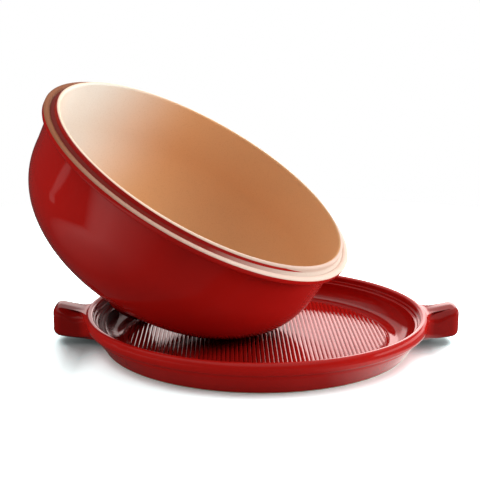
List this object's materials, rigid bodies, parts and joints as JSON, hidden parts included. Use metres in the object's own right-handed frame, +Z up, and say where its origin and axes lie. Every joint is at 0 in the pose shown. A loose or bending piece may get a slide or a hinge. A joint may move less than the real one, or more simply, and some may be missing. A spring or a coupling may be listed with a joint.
{
  "type": "round bread baker",
  "caption": "Round ceramic bread baker: ribbed tray with two lug handles, and a deep knobbed dome lying upside down in it, leaning with its mouth up.",
  "frame": {"origin": "centre of the tray's flat underside, where the baker stands", "axes": "+X through the right handle, +Y along the ribs away from the viewer, +Z up"},
  "size_m": [0.3482, 0.2874, 0.2075],
  "materials": {
    "red_glaze": "glossy deep red glaze over stoneware"
  },
  "bodies": {
    "base": {"base_tray": "red_glaze", "left_handle": "red_glaze", "right_handle": "red_glaze"},
    "dome": {"dome_shell": "red_glaze", "dome_knob": "red_glaze"}
  },
  "joints": [
    {"name": "dome_lift", "type": "slide", "parent": "base", "child": "dome", "axis": [0, 0, 1], "range_m": [0, 0.2]}
  ]
}
